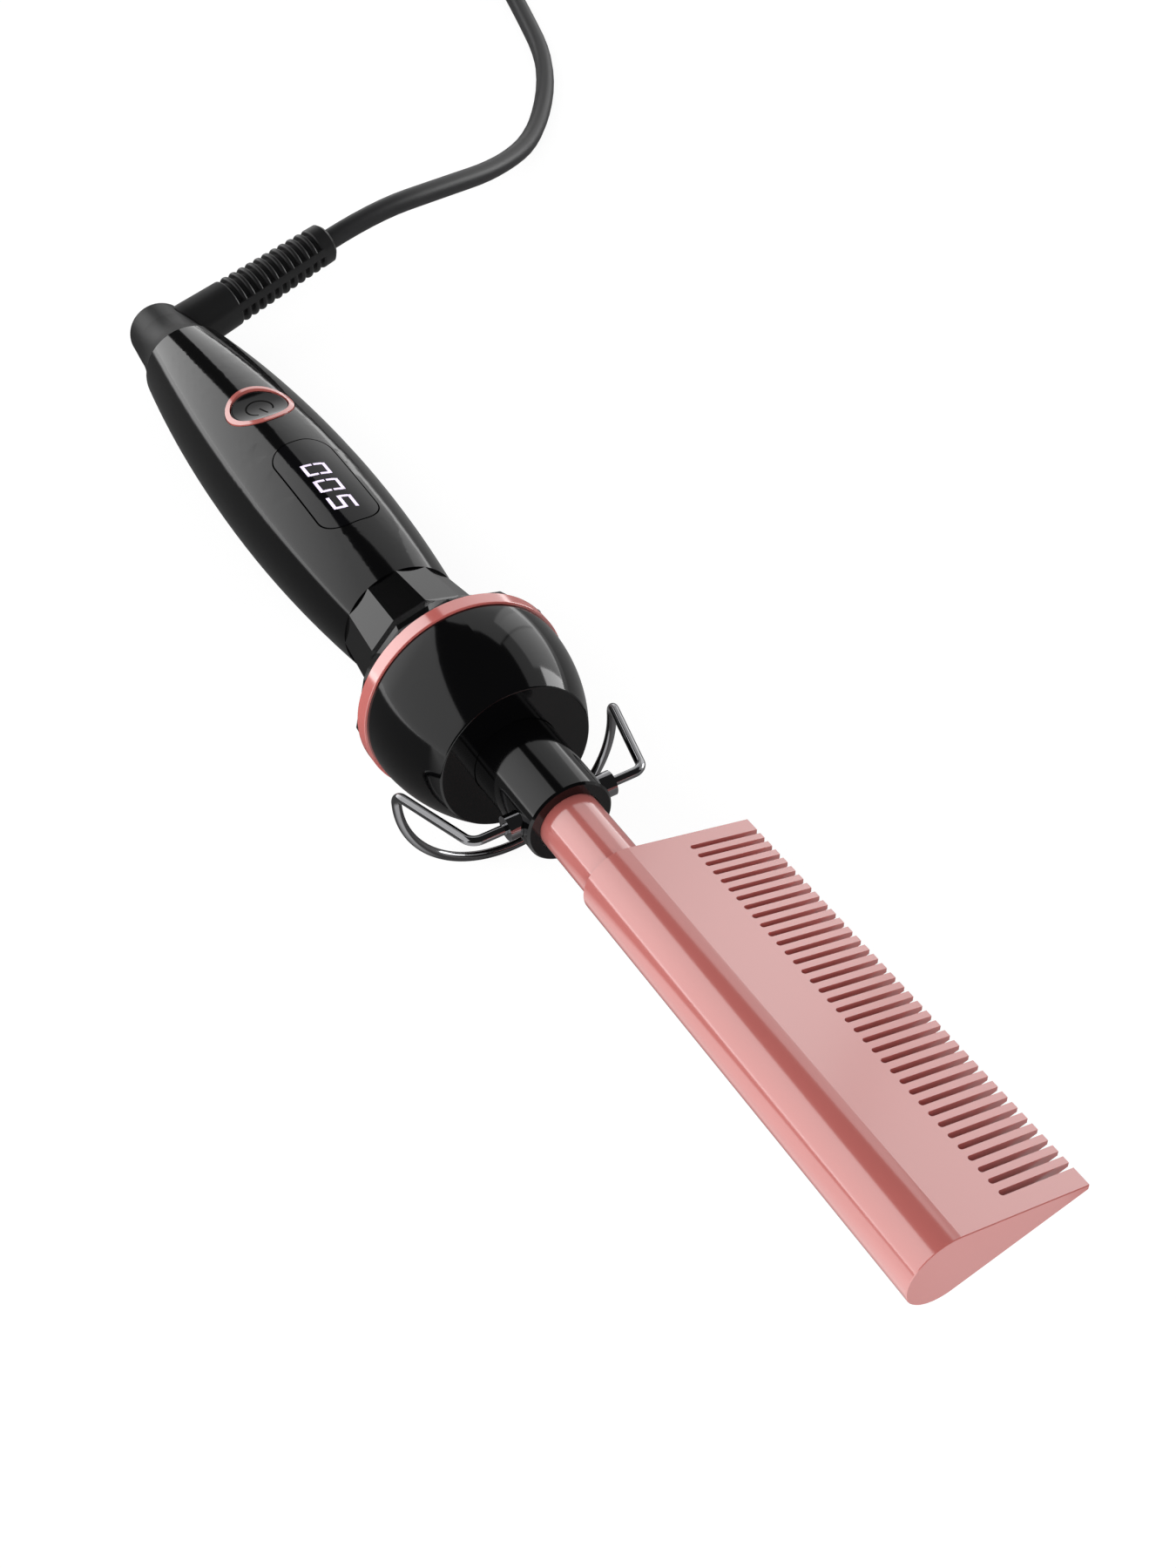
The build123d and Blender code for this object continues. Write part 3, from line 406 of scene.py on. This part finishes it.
mark_radius = 0.0026
mark_line = 0.00040
mark_turn = math.radians(16)
mark_gap = math.radians(42)
paint_lift = 0.00002
mark_mesh = bmesh.new()


def mark_strip(path, steps):
    """One painted line of the symbol, from its two edges at each step."""
    edges = []
    for step in range(steps + 1):
        places = [cap_spot(x, y, -paint_lift) for x, y in path(step / steps)]
        edges.append([mark_mesh.verts.new(place) for place in places])
    for (left, right), (next_left, next_right) in zip(edges, edges[1:]):
        mark_mesh.faces.new((left, right, next_right, next_left))


def mark_circle(share):
    """The circle's inner and outer edge at a share of its length."""
    angle = mark_turn + mark_gap + (2 * math.pi - 2 * mark_gap) * share
    radii = (mark_radius, mark_radius + mark_line)
    return [(radius * math.cos(angle), radius * math.sin(angle)) for radius in radii]


def mark_bar(share):
    """The bar's two edges at a share of its length."""
    reach = (mark_radius + mark_line / 2) * share
    x, y = math.cos(mark_turn), math.sin(mark_turn)
    offsets = (-mark_line / 2, mark_line / 2)
    return [(reach * x - offset * y, reach * y + offset * x) for offset in offsets]


mark_strip(mark_circle, steps=60)
mark_strip(mark_bar, steps=8)
turn_up(mark_mesh)
mark_paint = finish(
    "mark_paint", dark=(0.003, 0.003, 0.003), light=(0.006, 0.006, 0.006),
    roughness=0.80, patch=900, grain=3000, depth=0.00001, ior=1.2,
)
power_mark = mesh_object("power_mark", mark_mesh, mark_paint)
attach(power_mark, "button")

# Swivel tail and strain relief: matte black mouldings, the tail in hard plastic and the relief in
# elastomer, ribbed so that the cord bends without a kink. They turn on a hollow brass spindle in
# the carrier, and a steel clip holds it.
tail_matte = finish(
    "tail_matte", dark=(0.0065, 0.0065, 0.007), light=(0.0105, 0.0105, 0.011),
    roughness=0.42, patch=60, grain=2200, depth=0.00002, ior=1.33,
)
dress(tail_matte, "swivel_tail", "swivel_carrier")
elastomer = finish(
    "relief_elastomer", dark=(0.008, 0.008, 0.0085), light=(0.013, 0.013, 0.0135),
    roughness=0.33, patch=60, grain=2200, depth=0.00002,
)
dress(elastomer, "strain_relief")
turned_brass = finish(
    "turned_brass", dark=(0.55, 0.38, 0.17), light=(0.78, 0.58, 0.29),
    roughness=0.28, patch=300, grain=1200, depth=0.00002, metallic=1.0,
)
dress(turned_brass, "swivel_spindle")
dress(steel, "spindle_clip")

# Mains cord: a round five-millimetre PVC lead with a matte jacket. It runs out of the strain relief
# onto the table, is wound in two layers into a neat coil, and ends at the plug.
cord_thickness = 0.005
coil_heading = math.radians(151.64)
coil_ahead = Vector((math.cos(coil_heading), math.sin(coil_heading), 0))
coil_inward = Vector((-coil_ahead.y, coil_ahead.x, 0))
coil_entry = Vector((-0.3013, 0.1729, 0.00355))
coil_radius = 0.0396
coil_run_in = 0.030
coil_run_out = 0.020
turn_step = 0.00275
half_turns = 8
half_turn_points = 8
cord_route = [
    (-0.1497, 0.0446, 0.0147),
    (-0.1532, 0.0591, 0.0165),
    (-0.1600, 0.0810, 0.0126),
    (-0.1695, 0.1030, 0.0066),
    (-0.1840, 0.1225, 0.0026),
    (-0.2130, 0.1430, 0.0026),
    (-0.2450, 0.1520, 0.0026),
    tuple(coil_entry - coil_ahead * coil_run_in),
]
# The lower layer is wound inwards, one half turn climbs, and the upper layer is wound outwards
outer_turns = [coil_radius - turn_step * turn for turn in range(half_turns)]
climbing_turn = outer_turns[-1] - turn_step
winding = [*outer_turns, climbing_turn, *outer_turns[:0:-1], coil_radius]
swell = 1 / math.cos(math.pi / half_turn_points / 2)
turn_start = coil_entry.copy()
turn_side = 1
for number, radius in enumerate(winding):
    climbs = number == half_turns
    stops_half_way = number == 2 * half_turns
    middle = turn_start + coil_inward * (turn_side * radius)
    for step in range(half_turn_points // 2 if stops_half_way else half_turn_points):
        angle = math.pi * (step + 0.5) / half_turn_points
        point = middle - coil_inward * (turn_side * radius * swell * math.cos(angle))
        point += coil_ahead * (turn_side * radius * swell * math.sin(angle))
        if climbs:
            point.z += turn_step * (1 - math.cos(angle))
        cord_route.append(tuple(point))
    if climbs:
        middle.z += 2 * turn_step
    turn_start = middle + coil_inward * (turn_side * radius)
    turn_side = -turn_side
cord_route += [
    tuple(middle + coil_ahead * coil_radius + coil_inward * coil_run_out),
    (-0.3685, 0.1310, 0.0086),
    (-0.3720, 0.1070, 0.0083),
    (-0.3675, 0.0870, 0.0083),
]
cord_curve = bpy.data.curves.new("mains_cord", "CURVE")
cord_curve.dimensions = "3D"
cord_curve.bevel_depth = cord_thickness / 2
cord_curve.bevel_resolution = 4
cord_curve.resolution_u = 6
cord_curve.use_fill_caps = True
spline = cord_curve.splines.new("NURBS")
spline.points.add(len(cord_route) - 1)
for point, position in zip(spline.points, cord_route):
    point.co = (*position, 1)
spline.order_u = 3
spline.use_endpoint_u = True
mains_cord = bpy.data.objects.new("mains_cord", cord_curve)
bpy.context.scene.collection.objects.link(mains_cord)
jacket = finish(
    "cord_jacket", dark=(0.008, 0.008, 0.009), light=(0.020, 0.020, 0.021),
    roughness=0.42, patch=90, grain=2600, depth=0.00003,
)
cord_curve.materials.append(jacket)
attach(mains_cord, "swivel")
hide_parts("cord_lead", "cord_coil", "cord_tail")

# Coil strap: a hook-and-loop band wrapped once round the coil. It is woven nylon, so its face shows
# the weave and has a soft sheen.
strap_nylon = finish(
    "strap_nylon", dark=(0.012, 0.012, 0.012), light=(0.034, 0.034, 0.035),
    roughness=0.85, patch=700, grain=1500, depth=0.0003, sheen=0.4,
)
dress(strap_nylon, "cord_tie")

# Plug: a black plastic body with a soft spark-eroded texture, moulded round the cord's end and the
# roots of two flat brass blades.
plug_plastic = finish(
    "plug_plastic", dark=(0.013, 0.013, 0.014), light=(0.024, 0.024, 0.025),
    roughness=0.48, patch=70, grain=1700, depth=0.00006,
)
dress(plug_plastic, "plug_body")
blade_brass = finish(
    "blade_brass", dark=(0.62, 0.42, 0.18), light=(0.80, 0.60, 0.30),
    roughness=0.30, patch=200, grain=900, depth=0.00002, metallic=1.0,
)
dress(blade_brass, "plug_blades")

# Table: a plain pale sheet that runs out of sight and takes the tool's shadow. In gloss it is a dim
# floor with a pale card in front of the guard, a paler far part on the teeth's side and a bright
# end behind the handle.
table_reach = 6.0
table_corners = [
    (-table_reach, -table_reach, 0),
    (table_reach, -table_reach, 0),
    (table_reach, table_reach, 0),
    (-table_reach, table_reach, 0),
]
table_mesh = bpy.data.meshes.new("table")
table_mesh.from_pydata(table_corners, [], [(0, 1, 2, 3)])
table = bpy.data.objects.new("table", table_mesh)
bpy.context.scene.collection.objects.link(table)
sheet = bpy.data.materials.new("white_sheet")
sheet.use_nodes = True
sheet_tree = sheet.node_tree
sheet_shader = sheet_tree.nodes["Principled BSDF"]
sheet_shader.inputs["Base Color"].default_value = (0.18, 0.18, 0.18, 1)
sheet_shader.inputs["Roughness"].default_value = 1.0
sheet_shader.inputs["Specular IOR Level"].default_value = 0.0
sheet_shader.inputs["Emission Color"].default_value = (1, 1, 1, 1)
rays = sheet_tree.nodes.new("ShaderNodeLightPath")
sheet_place = sheet_tree.nodes.new("ShaderNodeTexCoord").outputs["Object"]
sheet_middle = (-0.04, 0, 0)
card_slope = -2.2
card_least = 0.08
sheet_least = 0.15


def sheet_math(operation, *values):
    """A sum on the sheet's own place, for how bright its reflection is."""
    node = sheet_tree.nodes.new("ShaderNodeMath")
    node.operation = operation
    for socket, value in zip(node.inputs, values):
        if isinstance(value, (int, float)):
            socket.default_value = value
        else:
            sheet_tree.links.new(value, socket)
    return node.outputs[0]


def sheet_edge(value, start, end, height=1.0):
    """A soft step from nothing to height, between two places on the sheet."""
    step = sheet_tree.nodes.new("ShaderNodeMapRange")
    step.inputs["From Min"].default_value = start
    step.inputs["From Max"].default_value = end
    step.inputs["To Max"].default_value = height
    sheet_tree.links.new(value, step.inputs["Value"])
    return step.outputs["Result"]


axes = sheet_tree.nodes.new("ShaderNodeSeparateXYZ")
sheet_tree.links.new(sheet_place, axes.inputs[0])
sheet_x, sheet_y = axes.outputs["X"], axes.outputs["Y"]
slant = sheet_math("MULTIPLY_ADD", sheet_y, card_slope, sheet_x)
in_front = sheet_edge(sheet_x, start=0.02, end=0.04)
beside = sheet_math("ADD", sheet_edge(sheet_y, start=-0.008, end=-0.018, height=0.70), card_least)
before_tip = sheet_edge(sheet_x, start=0.10, end=0.14, height=0.24)
card = sheet_math("MULTIPLY", sheet_edge(slant, start=0.062, end=0.074), in_front)
card = sheet_math("MULTIPLY", card, sheet_math("ADD", beside, before_tip))
away = sheet_tree.nodes.new("ShaderNodeVectorMath")
away.operation = "DISTANCE"
away.inputs[1].default_value = sheet_middle
sheet_tree.links.new(sheet_place, away.inputs[0])
far_edge = sheet_edge(away.outputs["Value"], start=0.27, end=0.31, height=0.25)
far_sheet = sheet_math("ADD", far_edge, sheet_least)
tooth_side = sheet_edge(sheet_y, start=0.0, end=0.02)
behind = sheet_edge(sheet_x, start=-0.28, end=-0.36, height=2.0)
open_sheet = sheet_math("MAXIMUM", sheet_math("MULTIPLY", far_sheet, tooth_side), behind)
lift = 0
for ray, strength in (
    ("Is Camera Ray", 0.89),
    ("Is Transmission Ray", 0.89),
    ("Is Diffuse Ray", 0.80),
    ("Is Glossy Ray", sheet_math("ADD", card, open_sheet)),
):
    lift = sheet_math("MULTIPLY_ADD", rays.outputs[ray], strength, lift)
sheet_tree.links.new(lift, sheet_shader.inputs["Emission Strength"])
table_mesh.materials.append(sheet)

# Softboxes: big lamps that stand on the floor round the handle's end of the table, with a dark gap
# behind the handle and brighter strips at their feet. A last one fills the front, and black gloss
# doesn't show it.
softbox_reach = 3.0


def softbox(name, bearing, left, right, top, glow, fade=None):
    """A lamp square to its bearing, in degrees from the handle's end round to the teeth's side.

    Its left, right and top edges are shares of its reach. Where it fades, its light ends that many
    degrees off its axis.
    """
    bearing = math.radians(bearing)
    heading = Vector((-math.cos(bearing), math.sin(bearing), 0))
    upright = Vector((0, 0, 1))
    sideways = upright.cross(heading)
    lamp = bpy.data.lights.new(name, "AREA")
    lamp.shape = "RECTANGLE"
    lamp.size = (right - left) * softbox_reach
    lamp.size_y = top * softbox_reach
    lamp.energy = glow * math.pi * lamp.size * lamp.size_y
    if fade:
        fade = math.radians(fade)
        lamp.spread = 2 * fade
        lamp.energy *= 1 - fade / math.tan(fade)
    holder = bpy.data.objects.new(name, lamp)
    bpy.context.scene.collection.objects.link(holder)
    middle = (heading - sideways * ((left + right) / 2) + upright * (top / 2)) * softbox_reach
    facing = Matrix((sideways, upright, heading)).transposed().to_4x4()
    holder.matrix_world = Matrix.Translation(middle) @ facing
    holder.visible_camera = False
    return holder


softbox("left_softbox", bearing=-57, left=-1.11, right=1.376, top=1.48, glow=1.05)
softbox("left_hotspot", bearing=-15, left=-1.0, right=0.213, top=1.0, glow=1.35, fade=42)
softbox("middle_softbox", bearing=50, left=-0.839, right=0.12, top=1.15, glow=0.60)
softbox("middle_hotspot", bearing=22, left=-0.213, right=0.445, top=0.65, glow=0.95, fade=30)
softbox("right_softbox", bearing=80, left=-0.404, right=0.84, top=1.10, glow=0.50)
softbox("right_band", bearing=68, left=-0.394, right=0.213, top=0.66, glow=0.65)
softbox("right_hotspot", bearing=65, left=-0.268, right=0.268, top=0.66, glow=0.5, fade=35)
softbox("side_window", bearing=90, left=-0.19, right=0.27, top=0.46, glow=4.5)
front_fill = softbox("front_fill", bearing=-142, left=-0.60, right=0.60, top=1.70, glow=2.3)
front_fill.visible_glossy = False

# Room: an even soft light for matte surfaces, dim walls that are a little paler at the floor for
# gloss, and a plain white backdrop for the camera.
world = bpy.data.worlds.new("studio")
bpy.context.scene.world = world
world.use_nodes = True
world_tree = world.node_tree
world_tree.nodes.clear()
world_out = world_tree.nodes.new("ShaderNodeOutputWorld")
world_rays = world_tree.nodes.new("ShaderNodeLightPath")
direction = world_tree.nodes.new("ShaderNodeTexCoord").outputs["Generated"]
heights = world_tree.nodes.new("ShaderNodeSeparateXYZ")
world_tree.links.new(direction, heights.inputs[0])
wall = world_tree.nodes.new("ShaderNodeMapRange")
wall.inputs["From Min"].default_value = 0.0
wall.inputs["From Max"].default_value = 0.10
wall.inputs["To Min"].default_value = 0.20
wall.inputs["To Max"].default_value = 0.03
world_tree.links.new(heights.outputs["Z"], wall.inputs["Value"])
room = world_tree.nodes.new("ShaderNodeBackground")
room.inputs["Strength"].default_value = 0.19
walls = world_tree.nodes.new("ShaderNodeBackground")
world_tree.links.new(wall.outputs["Result"], walls.inputs["Strength"])
backdrop = world_tree.nodes.new("ShaderNodeBackground")
backdrop.inputs["Strength"].default_value = 1.0
for shade in (room, walls, backdrop):
    shade.inputs["Color"].default_value = (1, 1, 1, 1)
by_gloss = world_tree.nodes.new("ShaderNodeMixShader")
by_camera = world_tree.nodes.new("ShaderNodeMixShader")
world_tree.links.new(world_rays.outputs["Is Glossy Ray"], by_gloss.inputs[0])
world_tree.links.new(room.outputs[0], by_gloss.inputs[1])
world_tree.links.new(walls.outputs[0], by_gloss.inputs[2])
world_tree.links.new(world_rays.outputs["Is Camera Ray"], by_camera.inputs[0])
world_tree.links.new(by_gloss.outputs[0], by_camera.inputs[1])
world_tree.links.new(backdrop.outputs[0], by_camera.inputs[2])
world_tree.links.new(by_camera.outputs[0], world_out.inputs["Surface"])

bpy.context.scene.view_settings.view_transform = "Standard"
